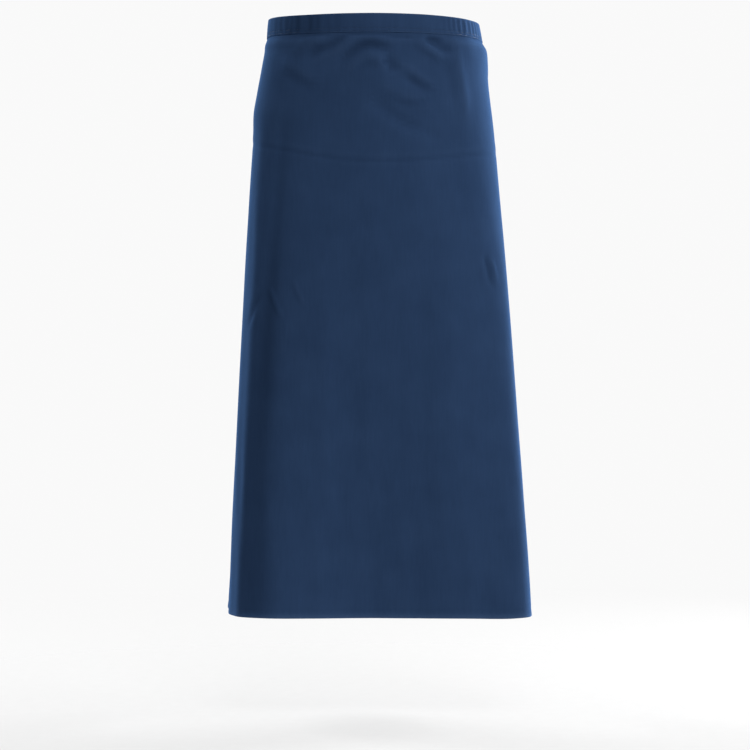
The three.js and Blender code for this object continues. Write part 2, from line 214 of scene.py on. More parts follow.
FOLDS = [
    # the arch under the middle of the band, and what hangs from its two feet
    Fold([(-62, 72), (-46, 44), (-14, 24), (18, 27), (44, 42)], 9, -5.4),
    Fold([(-52, 84), (-30, 54), (-8, 42), (14, 48), (22, 74)], 10, 4.0),
    Fold([(-78, 60), (-58, 30), (-22, 8), (20, 8), (50, 24)], 9, 4.7),
    Fold([(-36, 4), (-66, 18), (-100, 34), (-124, 56)], 9, -5.8),
    Fold([(-64, 3), (-104, 14), (-150, 30)], 11, 4.0),
    Fold([(14, 40), (28, 52), (36, 72)], 10, -4.3),
    # folds that fan out under the right of the band
    Fold([(6, 6), (34, 3), (62, 4), (78, 8)], 5, -2.7),
    Fold([(66, 10), (88, 22), (108, 34), (126, 52)], 8, 5.1),
    Fold([(76, 7), (98, 14), (122, 22), (150, 27)], 10, -7.8),
    Fold([(118, 2), (134, 18), (146, 44), (155, 78), (162, 118), (169, 168)], 12, 2.6),
    Fold([(120, 30), (132, 60), (142, 100), (150, 140)], 13, -2.7),
    Fold([(84, 5), (104, 9), (130, 15)], 7, -3.6),
    # soft diagonals lower down the front
    Fold([(34, 40), (62, 62), (94, 84), (120, 96)], 10, 3.0),
    Fold([(44, 64), (74, 84), (112, 98)], 10, -3.6),
    Fold([(-16, 74), (28, 93), (80, 118), (124, 142)], 13, 2.7),
    Fold([(-22, 98), (12, 121), (46, 146), (84, 172)], 14, -3.0),
    Fold([(26, 112), (60, 118), (104, 114)], 8, -2.1),
    Fold([(34, 142), (80, 160), (136, 180)], 12, -2.1),
    Fold([(-186, 34), (-126, 64), (-72, 88)], 13, 2.7),
    Fold([(-170, 60), (-120, 84), (-80, 100)], 13, -1.8),
    # the packing crease across the front
    Fold([(-330, 176), (-162, 194), (-84, 206), (-20, 213), (62, 212), (164, 202), (320, 188)],
         4, -0.7, fade=0.15),
    Fold([(-330, 166), (-162, 184), (-84, 196), (-20, 203), (62, 202), (164, 192), (320, 178)],
         6, 0.5, fade=0.15),
    # the hollow down the left side, and the roll that stands beside it
    Fold([(-150, 90), (-158, 176), (-164, 260), (-172, 361), (-181, 500), (-187, 720), (-193, 975)],
         (13, 17), (-2.5, -5.0), fade=0.12, off_hem=True),
    Fold([(-205, 120), (-207, 268), (-209, 445), (-213, 612), (-219, 779), (-224, 975)],
         (14, 16), (1.5, 3.0), fade=0.12, off_hem=True),
    # small knocks in the roll, at knee height
    Fold([(-232, 500), (-208, 456), (-189, 420)], 6, -2.1),
    Fold([(-182, 412), (-164, 446), (-144, 484)], 6, 2.6),
    Fold([(-134, 400), (-122, 431), (-108, 460)], 5, 1.7),
    Fold([(194, 360), (205, 392), (212, 430)], 6, -2.2),
    Fold([(206, 366), (216, 394), (220, 426)], 5, 2.2),
    # drag lines that fan out of the tied ends of the band, behind
    Fold([(476, 5), (440, 52), (398, 112), (350, 170)], 10, 3.2),
    Fold([(486, 14), (460, 84), (428, 170), (396, 250)], 11, -3.4),
    Fold([(462, 4), (412, 24), (352, 52)], 8, -2.6),
    Fold([(-474, 5), (-436, 46), (-390, 96), (-344, 140)], 9, -3.0),
    Fold([(-486, 16), (-464, 96), (-436, 190), (-410, 280)], 12, 3.4),
    Fold([(-456, 4), (-404, 20), (-346, 40)], 8, 2.4),
    # slack over the hips
    Fold([(252, 24), (292, 66), (342, 118)], 12, 2.4),
    Fold([(262, 66), (306, 116), (352, 158)], 12, -2.2),
    Fold([(-262, 30), (-300, 74), (-338, 132)], 12, -2.4),
    # long soft flutes down the two back flaps
    Fold([(-330, 60), (-340, 300), (-352, 600), (-366, 975)], (20, 34), (2, 7), **FLUTE),
    Fold([(-420, 60), (-424, 300), (-432, 600), (-440, 975)], (18, 26), (-2, -6), **FLUTE),
    Fold([(340, 50), (352, 300), (366, 600), (384, 975)], (20, 32), (-2, -6), **FLUTE),
    Fold([(420, 60), (430, 300), (442, 600), (452, 975)], (16, 24), (2, 5), **FLUTE),
]

# How far each side stands out of the smooth drape, as points (v, height) in millimetres: on
# the right the band leans out and the cloth puffs out below it, and both sides hang in a
# little at knee height.
SIDE_STAND = {
    "right": [(-34, -0.5), (0, 6), (12, 9), (27, 9.2), (62, 5), (96, 4.5), (131, 5.2),
              (165, 5), (270, 1.9), (400, 0), (620, -1.3), (750, 0.9), (960, 5.9)],
    "left": [(-34, -3), (0, -0.5), (12, -1.4), (27, -3.5), (62, -2.6), (96, 0), (131, 3),
             (165, 0.8), (200, -0.8), (340, -2.5), (480, -3.3), (700, -1.8), (960, 1.2)],
}


def curve_through(points, step):
    """Points about a step apart on a smooth curve through the given ones."""
    points = np.asarray(points, float)
    padded = np.concatenate([2 * points[:1] - points[1:2], points, 2 * points[-1:] - points[-2:-1]])
    pieces = []
    for a, b, c, d in zip(padded, padded[1:], padded[2:], padded[3:]):
        count = max(2, math.ceil(np.linalg.norm(c - b) / step))
        t = np.linspace(0, 1, count, endpoint=False)[:, None]
        bend = 2 * a - 5 * b + 4 * c - d
        twist = -a + 3 * b - 3 * c + d
        pieces.append(b + 0.5 * t * ((c - a) + t * (bend + t * twist)))
    return np.concatenate(pieces + [points[-1:]])


def pair(value):
    """The values at the start and the end of a fold."""
    return value if isinstance(value, tuple) else (value, value)


def fold_height(s_axis, v_axis, fold):
    """Height of one soft fold over the table of the cut."""
    widths = pair(fold.width)
    widest = max(widths) * MM
    route = curve_through(fold.path, min(widths) / 3) * MM
    low, high = route.min(axis=0) - 3 * widest, route.max(axis=0) + 3 * widest
    columns = np.flatnonzero((s_axis > low[0]) & (s_axis < high[0]))
    rows = np.flatnonzero((v_axis > low[1]) & (v_axis < high[1]))
    grid = np.stack(np.meshgrid(s_axis[columns], v_axis[rows]), axis=-1)
    nearest = np.full(grid.shape[:2], np.inf)
    along = np.zeros(grid.shape[:2])
    for k, point in enumerate(route):
        distance = ((grid - point) ** 2).sum(axis=-1)
        closer = distance < nearest
        nearest[closer] = distance[closer]
        along[closer] = k / (len(route) - 1)
    share = ease(along / fold.fade) * (1 if fold.off_hem else ease((1 - along) / fold.fade))
    local_width = np.interp(along, [0, 1], widths) * MM
    local_height = np.interp(along, [0, 1], pair(fold.height)) * MM
    result = np.zeros((len(v_axis), len(s_axis)))
    result[np.ix_(rows, columns)] = local_height * share * np.exp(-nearest / local_width ** 2)
    return result


def soft_waves(s, v):
    """The slack of cloth that hangs free: long ripples that wander and grow towards the hem."""
    lean = 0.018 * np.sin(v * 5.1 + 0.6) + 0.010 * np.sin(v * 11.3)
    slow = np.sin((s + lean) * 61 + 0.8) * 0.5 + np.sin((s - lean) * 97 + 2.0) * 0.3
    quick = np.sin((s + 1.6 * lean) * 173 + 4.1) * 0.16
    return (slow + quick) * (0.35 + 0.9 * ease(v / DROP)) * MM


def hem_swell(s, v):
    """The turned hem is three plies thick, and its stitching pulls the cloth in."""
    swell = 0.55 * ease((v - HEM_STITCH_V) / (4 * MM))
    pucker = 0.5 + 0.5 * np.sin(s * 620 + 3 * np.sin(s * 47))
    groove = -(0.30 + 0.35 * pucker) * bell(v - HEM_STITCH_V, 2.6 * MM)
    return (swell + groove) * MM


def side_hem_swell(s):
    """The side hems swell and pull in like the bottom one."""
    past = abs(s) - SIDE_STITCH_S
    return (0.45 * ease(past / (4 * MM)) - 0.35 * bell(past, 2.4 * MM)) * MM


def shoulder(s, v):
    """The cloth steps out from under the band, unevenly, where its top edge is gathered in."""
    uneven = 0.7 + 0.3 * np.sin(s * 37 + 0.4) * np.sin(s * 13 + 1.9)
    return 3.2 * MM * uneven * ease(v / 0.018) * (1 - ease((v - 0.03) / 0.15))


def band_waves(s, v):
    """The band is not quite even, and the cloth just under it follows."""
    wave = np.sin(s * 83 + 1.0) * 0.6 + np.sin(s * 141 + 2.2) * 0.4
    return 0.35 * MM * wave * (1 - ease(v / 0.05))


def relief(s_axis, v_axis):
    """All that stands out of the smooth drape or sinks into it."""
    s, v = np.meshgrid(s_axis, v_axis)
    height = soft_waves(s, v) + shoulder(s, v) + side_hem_swell(s)
    for fold in FOLDS:
        height += fold_height(s_axis, v_axis, fold)
    height *= ease(v / 0.010)
    return height + hem_swell(s, v) + band_waves(s, v)


def side_stand(v_axis, normals):
    """What the sides stand out by, where the cloth faces sideways."""
    result = np.zeros(normals.shape[:2])
    for side, sign in SIDES:
        curve = curve_through(np.array(SIDE_STAND[side]) * MM, 0.004)
        profile = np.interp(v_axis, curve[:, 0], curve[:, 1])
        result += profile[:, None] * ease((sign * normals[:, :, 0] - 0.15) / 0.7)
    return result


def hang(s, v):
    """How far the cloth is worn higher or lower than level: the band rides up towards the left,
    and the corners of the hem hang down a little."""
    ride = (1.7 * bell(s, 0.30) + 7.0 * bell(s + 0.24, 0.10)) * (1 - ease(v / 0.55))
    sag = (6.0 * bell(s - 0.26, 0.08) + 3.2 * bell(s + 0.24, 0.09)) * ease((v - 0.35) / 0.6)
    return (ride - sag) * MM


# The curvature below darkens the skirt in the hollows of its folds, as painted shade, and lightens
# it on their ridges, as painted highlight.
SHARPEST = 150
RIDGE_LIMIT = -0.35


def hollows(height):
    """The curvature of the relief, from 1 in the sharpest hollows down to the ridge limit."""
    down, across = np.gradient(height, TABLE_STEP)
    curve = np.gradient(down, TABLE_STEP, axis=0) + np.gradient(across, TABLE_STEP, axis=1)
    return np.clip(curve / SHARPEST, RIDGE_LIMIT, 1)


def make_drape():
    """The table that every piece of cloth and thread on the apron is laid on."""
    s_axis = np.arange(-HALF, HALF + TABLE_STEP / 2, TABLE_STEP)
    rows = math.ceil((BAND_HEIGHT + 0.003) / TABLE_STEP)
    v_axis = np.arange(-rows, math.ceil(DROP / TABLE_STEP) + 2) * TABLE_STEP
    points = smooth_drape(s_axis, v_axis)
    normals = normals_of(points)
    height = relief(s_axis, v_axis) + side_stand(v_axis, normals)
    points = points + normals * height[:, :, None]
    points[:, :, 2] += hang(*np.meshgrid(s_axis, v_axis))
    return Drape(s_axis, v_axis, points, hollows(height))


# ---- Meshes ----

def in_scene(name, data):
    """A new object in the scene."""
    thing = bpy.data.objects.new(name, data)
    bpy.context.scene.collection.objects.link(thing)
    return thing


def box_centre(node):
    low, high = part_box(node)
    return (low + high) / 2


def new_piece(name, points, faces, flat, wear_and_painted_shade=None):
    """A smooth-shaded mesh. flat holds each point's place on the cut, for the weave."""
    points = np.reshape(points, (-1, 3))
    mesh = bpy.data.meshes.new(name)
    mesh.from_pydata(points.tolist(), [], faces)
    mesh.shade_smooth()
    attribute = mesh.attributes.new("flat", "FLOAT_VECTOR", "POINT")
    attribute.data.foreach_set("vector", np.asarray(flat, np.float32).ravel())
    if wear_and_painted_shade is None:
        wear_and_painted_shade = np.zeros(len(points))
    # this attribute carries rubbing, and painted shade and highlight, for the twill
    attribute = mesh.attributes.new("wear_and_painted_shade", "FLOAT", "POINT")
    attribute.data.foreach_set("value", np.asarray(wear_and_painted_shade, np.float32).ravel())
    return in_scene(name, mesh)


def tube_walls(stations, count, first=0):
    """Faces along a tube of sections that each have count points, from its first point."""
    starts = range(first, first + (stations - 1) * count, count)
    edges = [(i + j, i + (j + 1) % count) for i in starts for j in range(count)]
    return [(a, b, b + count, a + count) for a, b in edges]


def tube_faces(stations, count):
    """A tube closed at both ends by strips between opposite points, so that a thin section
    is capped cleanly."""
    faces = tube_walls(stations, count)
    last = (stations - 1) * count
    for j in range(count // 2 - 1):
        k = count - 1 - j
        faces.append((j, k, k - 1, j + 1))
        faces.append((last + j, last + j + 1, last + k - 1, last + k))
    return faces


def laid_strip(name, drape, s_values, outer, inner, pucker=None, wear_and_painted_shade=None, shift=None):
    """Cloth laid on the drape. outer and inner list the (height, v) points of its two faces,
    from the top down, with as many in each. pucker(s, v) lifts the outer face, and
    shift(s, v) moves both."""
    outline = np.array(list(outer) + list(inner)[::-1])
    s, v = np.meshgrid(s_values, outline[:, 1], indexing="ij")
    lift = np.broadcast_to(outline[:, 0], s.shape).copy()
    if pucker is not None:
        lift[:, : len(outer)] += pucker(s[:, : len(outer)], v[:, : len(outer)])
    points, _ = drape.at(s, v, lift if shift is None else lift + shift(s, v))
    flat = np.stack([s, v, lift], axis=-1)
    worn_and_shaded = None if wear_and_painted_shade is None else wear_and_painted_shade(s, v, lift)
    return new_piece(name, points, tube_faces(len(s_values), len(outline)), flat, worn_and_shaded)


def plain_faces(thickness, rows):
    """The two faces of a single ply, for laid_strip."""
    return [(thickness / 2, v) for v in rows], [(-thickness / 2, v) for v in rows]


# The rings along one stitch: where they are, and their size and height in thread radii.
RING_SIDES = 6
RING_AT = np.array([0.0, 0.10, 0.32, 0.68, 0.90, 1.0])
RING_RADIUS = np.array([0.45, 0.85, 1.0, 1.0, 0.85, 0.45])
RING_HEIGHT = np.array([-0.9, 0.25, 0.75, 0.75, 0.25, -0.9])


def threads_on(name, starts, ends, normals, radius=THREAD / 2):
    """Short lengths of thread that come up out of the cloth, lie on it and go back down."""
    side = np.cross(unit(ends - starts), normals)
    centres = starts[:, None] + (ends - starts)[:, None] * RING_AT[None, :, None]
    centres = centres + normals[:, None] * (RING_HEIGHT * radius)[None, :, None]
    angle = 2 * math.pi * np.arange(RING_SIDES) / RING_SIDES
    cos, sin = np.cos(angle)[None, :, None], np.sin(angle)[None, :, None]
    ring = side[:, None] * cos + normals[:, None] * sin
    points = centres[:, :, None] + ring[:, None] * (radius * RING_RADIUS)[None, :, None, None]
    each = len(RING_AT) * RING_SIDES
    faces = []
    for base in range(0, len(starts) * each, each):
        faces += tube_walls(len(RING_AT), RING_SIDES, base)
        faces.append(tuple(base + j for j in reversed(range(RING_SIDES))))
        faces.append(tuple(base + each - RING_SIDES + j for j in range(RING_SIDES)))
    flat = np.zeros((len(points), len(RING_AT), RING_SIDES, 3))
    stitch = np.arange(len(points))[:, None, None]
    flat[..., 0] = RING_AT[None, :, None] * STITCH_LENGTH + stitch * STITCH_PITCH
    flat[..., 1] = angle * radius
    return new_piece(name, points, faces, flat)


def stitch_row(name, drape, start, end, lift):
    """Separate stitches laid on the cloth, in a row from one place on the cut to another."""
    start, end = np.array(start), np.array(end)
    along = unit(end - start)
    count = int(np.linalg.norm(end - start) / STITCH_PITCH)
    first = start + along * STITCH_PITCH * np.arange(count)[:, None]
    last = first + along * STITCH_LENGTH
    starts, normals = drape.at(first[:, 0], first[:, 1], lift)
    ends, _ = drape.at(last[:, 0], last[:, 1], lift)
    return threads_on(name, starts, ends, normals)


# ---- Materials ----

class Nodes:
    """Short ways to add and join the nodes of a material or the world."""

    def __init__(self, owner, shader="Principled BSDF"):
        owner.use_nodes = True
        self.owner, self.tree = owner, owner.node_tree
        self.shader = self.tree.nodes[shader]

    def add(self, kind, inputs=None, **settings):
        node = self.tree.nodes.new("ShaderNode" + kind)
        for key, value in settings.items():
            setattr(node, key, value)
        for key, value in (inputs or {}).items():
            if isinstance(value, bpy.types.NodeSocket):
                self.tree.links.new(value, node.inputs[key])
            else:
                node.inputs[key].default_value = value
        return node

    def cut(self):
        """The place on the cut."""
        return self.add("Attribute", attribute_name="flat").outputs["Vector"]

    def maths(self, operation, a, b):
        return self.add("Math", {0: a, 1: b}, operation=operation).outputs[0]

    def sum(self, *parts):
        """Adds up (value, weight) pairs."""
        total = self.maths("MULTIPLY", *parts[0])
        for part in parts[1:]:
            total = self.maths("ADD", total, self.maths("MULTIPLY", *part))
        return total

    def ranged(self, value, low, high, to_low=0.0, to_high=1.0):
        """The value moved from one range to another, and held inside it."""
        inputs = {"Value": value, "From Min": low, "From Max": high,
                  "To Min": to_low, "To Max": to_high}
        return self.add("MapRange", inputs).outputs["Result"]

    def scaled(self, vector, across, along):
        """A place on the cut with its two directions scaled, to stretch a pattern."""
        scale = (across, along, 1.0)
        return self.add("VectorMath", {0: vector, 1: scale}, operation="MULTIPLY").outputs[0]

    def noise(self, vector, scale, detail=3.0):
        inputs = {"Vector": vector, "Scale": scale, "Detail": detail}
        return self.add("TexNoise", inputs).outputs["Fac"]

    def bands(self, vector, period, direction="X"):
        """Even bands of one period across a direction of the cut."""
        scale = 2 * math.pi / (20 * period)
        inputs = {"Vector": vector, "Scale": scale}
        return self.add("TexWave", inputs, bands_direction=direction).outputs["Fac"]

    def mixed(self, share, a, b):
        """Colour a turning into colour b."""
        return self.add("Mix", {0: share, 6: a, 7: b}, data_type="RGBA").outputs[2]

    def set(self, **values):
        """Plain values on the shader's own sockets. Underscores stand for spaces."""
        for key, value in values.items():
            self.shader.inputs[key.replace("_", " ")].default_value = value

    def link(self, name, socket):
        self.tree.links.new(socket, self.shader.inputs[name])

    def bump(self, height, strength, distance):
        inputs = {"Height": height, "Strength": strength, "Distance": distance}
        self.link("Normal", self.add("Bump", inputs).outputs["Normal"])


NAVY_DEEP = (0.0165, 0.0352, 0.0815, 1)
NAVY = (0.0228, 0.0470, 0.1055, 1)
# painted shade: the dark colour mixed in where folds and the left of the apron would be in shade
NAVY_PAINTED_SHADE = (0.0065, 0.0140, 0.0330, 1)
# the worn colour, also mixed in as a painted highlight on fold ridges
NAVY_WORN_AND_HIGHLIGHT = (0.0480, 0.0860, 0.1700, 1)
THREAD_DEEP = (0.012, 0.028, 0.068, 1)
THREAD_PALE = (0.020, 0.043, 0.098, 1)
THREAD_GROOVE_SHADE = (0.007, 0.016, 0.040, 1)
RIB = 0.0009
WEFT = 0.00055
THREAD_TWIST = 0.00045
LABEL_RIB = 0.0007


def twill_material(name, warp_turn=(1.0, 1.0)):
    """Navy poly-cotton twill: fine diagonal ribs, yarns of uneven weight and an uneven dye.
    It is lighter where the attribute is above zero, from rubbing and from a painted highlight on
    fold ridges, and darker below zero, where shade is painted."""
    n = Nodes(bpy.data.materials.new(name))
    flat = n.scaled(n.cut(), *warp_turn)
    wear_and_painted_shade = n.add("Attribute", attribute_name="wear_and_painted_shade").outputs["Fac"]
    ribs = n.bands(flat, RIB * math.sqrt(2), "DIAGONAL")
    picks = n.bands(flat, WEFT, "Y")
    yarns = n.noise(n.scaled(flat, 1.0, 0.035), 900.0, 2.0)
    slubs = n.noise(n.scaled(flat, 1.0, 0.10), 260.0, 3.0)
    dye = n.noise(flat, 14.0, 5.0)
    fuzz = n.noise(flat, 2600.0, 2.0)
    weave = n.sum((ribs, 0.62), (picks, 0.38))
    raised = n.maths("SUBTRACT", weave, 0.5)
    tone = n.sum((yarns, 0.26), (slubs, 0.24), (dye, 0.50), (raised, 0.10))
    colour = n.mixed(n.ranged(tone, 0.28, 0.72), NAVY_DEEP, NAVY)
    patchy = n.ranged(n.noise(flat, 700.0, 4.0), 0.30, 0.75, 0.25, 1.0)
    # lighter where rubbed, and a painted highlight on the ridges of folds
    rubbed_and_ridge_lit = n.maths("MULTIPLY", n.ranged(wear_and_painted_shade, 0.0, 1.0), patchy)
    colour = n.mixed(rubbed_and_ridge_lit, colour, NAVY_WORN_AND_HIGHLIGHT)
    # painted shade: darker where the attribute is below zero
    n.link("Base Color", n.mixed(n.ranged(wear_and_painted_shade, 0.0, -1.0, 0.0, 0.75), colour, NAVY_PAINTED_SHADE))
    n.link("Roughness", n.ranged(tone, 0.3, 0.7, 0.86, 0.74))
    n.bump(n.sum((weave, 1.0), (yarns, 0.8), (fuzz, 0.25)), 0.55, 0.00016)
    n.set(Specular_IOR_Level=0.0, Sheen_Weight=0.50, Sheen_Roughness=0.30,
          Sheen_Tint=(0.20, 0.45, 1.0, 1))
    return n.owner


def thread_material():
    """Polyester thread: two plies twisted together, a little brighter than the cloth."""
    n = Nodes(bpy.data.materials.new("thread"))
    flat = n.cut()
    twist = n.bands(flat, THREAD_TWIST, "DIAGONAL")
    shade = n.noise(flat, 400.0, 2.0)
    colour = n.mixed(n.ranged(shade, 0.3, 0.7), THREAD_DEEP, THREAD_PALE)
    # painted shade: the grooves of the twist are coloured darker
    groove = n.ranged(twist, 0.0, 0.5, 0.45, 0.0)
    n.link("Base Color", n.mixed(groove, colour, THREAD_GROOVE_SHADE))
    n.link("Roughness", n.ranged(twist, 0.0, 1.0, 0.62, 0.46))
    n.bump(twist, 0.6, 0.00008)
    n.set(Specular_IOR_Level=0.22, Sheen_Weight=0.10, Sheen_Tint=(0.3, 0.55, 1.0, 1))
    return n.owner


def interlining_material():
    """Non-woven stiffener: short fibres pressed together, with a faint dot bonding."""
    n = Nodes(bpy.data.materials.new("interlining"))
    place = n.add("TexCoord").outputs["Object"]
    fibres = n.noise(place, 1400.0, 6.0)
    dots = n.add("TexVoronoi", {"Vector": place, "Scale": 480.0}).outputs["Distance"]
    n.link("Base Color", n.mixed(fibres, (0.60, 0.60, 0.57, 1), (0.80, 0.80, 0.77, 1)))
    n.link("Roughness", n.ranged(fibres, 0.2, 0.8, 0.95, 0.85))
    n.bump(n.maths("ADD", fibres, n.ranged(dots, 0.0, 0.4)), 0.5, 0.0002)
    return n.owner


def label_material():
    """White satin ribbon: fine ribs across it, brighter where the weave floats."""
    n = Nodes(bpy.data.materials.new("label"))
    flat = n.cut()
    ribs = n.bands(flat, LABEL_RIB, "Y")
    mottle = n.noise(flat, 300.0, 3.0)
    n.link("Base Color", n.mixed(mottle, (0.70, 0.70, 0.68, 1), (0.86, 0.86, 0.85, 1)))
    n.link("Roughness", n.ranged(ribs, 0.0, 1.0, 0.48, 0.30))
    n.bump(ribs, 0.4, 0.0001)
    n.set(Specular_IOR_Level=0.55, Sheen_Weight=0.1)
    return n.owner


# What pieces are made of: a material, and the slot that it fills.
TWILL = (twill_material("twill"), "twill")
TIE_TWILL = (twill_material("tie_twill", (-1.0, 1.0)), "twill")
STITCHING = (thread_material(), "thread")


def finish_piece(piece, stuff, node, body="apron"):
    """Gives a piece its material and its body, and hides the CAD node that it stands for."""
    material, slot = stuff
    piece.data.materials.append(material)
    if body:
        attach(piece, body)
    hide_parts(node)
    return piece


# ---- Skirt panel and its hems ----

SKIRT_COLUMNS = 212
SKIRT_ROWS = 214
EDGE_ROLL = 1.2 * MM


def rounded_edge(distance):
    """How far the cloth has turned in, that close to a folded edge."""
    x = np.clip(1 - distance / EDGE_ROLL, 0, 1)
    return -0.9 * MM * (1 - np.sqrt(np.maximum(1 - x * x, 0)))


def roll_in(s, v):
    """The panel turns under at its bottom and side edges, where its hems begin."""
    return rounded_edge(DROP - v) + rounded_edge(HALF - abs(s)) * (v > 0)


def edge_wear(s, v):
    """Rubbing along the hem's fold and the side edges."""
    low = bell(DROP - v, 3 * MM)
    side = bell(HALF - abs(s), 2.5 * MM)
    stitched = 0.30 * bell(v - HEM_STITCH_V, 1.5 * MM)
    swollen = 0.35 * ease((v - HEM_TOP - 3 * MM) / (3 * MM))
    return np.clip(0.5 * low + 0.4 * side + stitched + swollen, 0, 1)


# How strongly the curvature paints shade into the fold hollows and a highlight onto the ridges.
HOLLOW_SHADE = 0.38

# Painted shade down the left side: where its middle lies, s at each v, its depth and width.
SIDE_SHADE_V = (0.15, 0.44, 0.70, 0.975)
SIDE_SHADE_S = (-0.165, -0.178, -0.200, -0.212)
SIDE_SHADE = 0.58
SIDE_SHADE_WIDTH = 0.025


def side_shade(s, v):
    """Painted shade: the cloth is coloured darker down the hollow of the left side, more so towards
    the hem.
    """
    middle = np.interp(v, SIDE_SHADE_V, SIDE_SHADE_S)
    return SIDE_SHADE * bell(s - middle, SIDE_SHADE_WIDTH) * ease((v - SIDE_SHADE_V[0]) / 0.45)


def with_fine_ends(low, high, count, fine):
    """Even steps, with a few small ones added close to the ends that turn under."""
    steps = np.linspace(low, high, count)
    return np.unique(np.concatenate([steps, high - np.array(fine) * EDGE_ROLL]))


def make_skirt(drape):
    """The panel of the apron, in one ply."""
    fine = (0.8, 0.5, 0.25, 0.1)
    rows = with_fine_ends(-SEAM_ALLOWANCE, DROP, SKIRT_ROWS, fine)
    columns = with_fine_ends(0, HALF, SKIRT_COLUMNS // 2, fine)
    columns = np.concatenate([-columns[:0:-1], columns])

    def wear_and_painted_shade(s, v, lift):
        # rubbing on the edges, less painted shade in the fold hollows and down the left side;
        # ridges get a painted highlight
        hollow = drape.read(drape.hollow, s, v)[..., 0]
        shade = HOLLOW_SHADE * hollow + side_shade(s, v) * (lift > 0)
        return np.clip(edge_wear(s, v) - shade, -1, 1)

    faces = plain_faces(PLY, rows)
    skirt = laid_strip("skirt_cloth", drape, columns, *faces, wear_and_painted_shade=wear_and_painted_shade, shift=roll_in)
    return finish_piece(skirt, TWILL, "skirt_panel")


HEM_OUTER = -0.45 * MM
HEM_INNER = -1.75 * MM
HEM_MIDDLE = (HEM_OUTER + HEM_INNER) / 2


def folded_faces(top, bottom, steps):
    """Both faces of a hem: a double ply with a rounded fold along its top."""
    rows = np.linspace(top + 0.5 * MM, bottom, steps)
    outer = [(HEM_MIDDLE + 0.3 * MM, top), (HEM_OUTER, top + 0.2 * MM)]
    inner = [(HEM_MIDDLE - 0.3 * MM, top), (HEM_INNER, top + 0.2 * MM)]
    return outer + [(HEM_OUTER, v) for v in rows], inner + [(HEM_INNER, v) for v in rows]


def make_hems(drape):
    """The bottom hem and the two side hems."""
    outer, inner = folded_faces(HEM_TOP, DROP - 0.4 * MM, 8)
    outer.append((HEM_OUTER - 0.3 * MM, DROP))
    inner.append((HEM_INNER + 0.3 * MM, DROP))
    columns = np.linspace(-HALF + 0.4 * MM, HALF - 0.4 * MM, 340)
    hem = laid_strip("bottom_hem_cloth", drape, columns, outer, inner, wear_and_painted_shade=hem_wear)
    finish_piece(hem, TWILL, "bottom_hem")
    return [hem] + [make_side_hem(drape, side, sign) for side, sign in SIDES]


def hem_wear(_s, v, _lift):
    """Rubbing along the hem's two folds, on the inside."""
    return 0.5 * bell(v - HEM_TOP, 1.5 * MM) + 0.5 * bell(v - DROP, 2 * MM)


def make_side_hem(drape, side, sign):
    """A hem turned in down one side, as columns of thin sections."""
    inside = HALF - SIDE_HEM_WIDTH
    columns = inside + np.array([0, 0.2, 0.6, 2, 4, 6, 8, 10, 11.2, 11.6]) * MM
    depth = np.array([0.5, 0.9, 1, 1, 1, 1, 1, 1, 0.9, 0.5])
    rows = np.linspace(1.5 * MM, HEM_TOP - 0.5 * MM, 240)
    reach = (HEM_OUTER - HEM_INNER) / 2 * depth
    s = np.concatenate([columns, columns[::-1]]) * sign
    lift = HEM_MIDDLE + np.concatenate([reach, -reach[::-1]])
    if sign > 0:
        s, lift = s[::-1], lift[::-1]
    s, v = np.meshgrid(s, rows)
    lift = np.broadcast_to(lift, s.shape)
    points, _ = drape.at(s, v, lift)
    flat = np.stack([v, s, lift], axis=-1)
    piece = new_piece(f"side_hem_{side}_cloth", points, tube_faces(len(rows), s.shape[1]), flat)
    return finish_piece(piece, TWILL, f"side_hem_{side}")


# ---- Waistband ----

BAND_FACE = 1.5 * MM
BAND_PLY = 0.55 * MM
STITCH_ROWS = (-2 * MM, -7 * MM)


def fold_arc(radius, centre, steps):
    """The band's fold over its top, from the outer face to the inner one."""
    angle = np.linspace(0, math.pi, steps)
    return [(radius * math.cos(a), centre - radius * math.sin(a)) for a in angle]


TURNED_EDGE = [(0.45 * MM, 0.1 * MM), (0.95 * MM, 0.35 * MM), (1.35 * MM, 0.1 * MM),
               (1.48 * MM, -0.5 * MM)]


def band_faces():
    """Outer and inner outline of the folded band, both from the lower outer edge over the
    top to the lower inner edge. The ply is turned in along both lower edges."""
    top = -BAND_HEIGHT + BAND_FACE
    rows = np.linspace(-1.4 * MM, top + 1.5 * MM, 17)
    side = TURNED_EDGE + [(BAND_FACE, v) for v in rows]
    outer = side + fold_arc(BAND_FACE, top, 11) + [(-x, v) for x, v in reversed(side)]
    lined = BAND_FACE - BAND_PLY
    lining = [(0.42 * MM, -0.6 * MM)] + [(0.40 * MM, v * MM) for v in (-1.6, -3.2, -5.2)]
    lining += [(lined, v) for v in np.linspace(-6.2 * MM, top + 1.2 * MM, 17)]
    inner = lining + fold_arc(lined, top, 11) + [(-x, v) for x, v in reversed(lining)]
    return outer, inner


def band_pucker(s, v):
    """Small gathers along the stitching with a groove under each row of stitches, and
    wrinkles across the band at the left and the right of the front."""
    gathers = np.sin(s * 690 + 2.5 * np.sin(s * 61)) * np.sin(s * 113 + 1.0)
    buckles = bell(s + 0.125, 0.040) * np.sin(s * 340 + 1.5 * np.sin(s * 70))
    held = sum(bell(v - row, 3.2 * MM) for row in STITCH_ROWS)
    grooves = sum(bell(v - row, 1.1 * MM) for row in STITCH_ROWS)
    wrinkles = bell(s - 0.165, 0.045) * np.sin(s * 520 + 18 * v + 1.2 * np.sin(s * 90))
    upper = ease(-v / BAND_HEIGHT * 3) * ease((v + BAND_HEIGHT) / (5 * MM))
    belly = 0.25 * bell(v + BAND_HEIGHT * 0.6, 9 * MM)
    across = (0.6 * wrinkles + 0.8 * buckles) * upper
    return (0.22 * gathers * held - 0.34 * grooves + across + belly) * MM


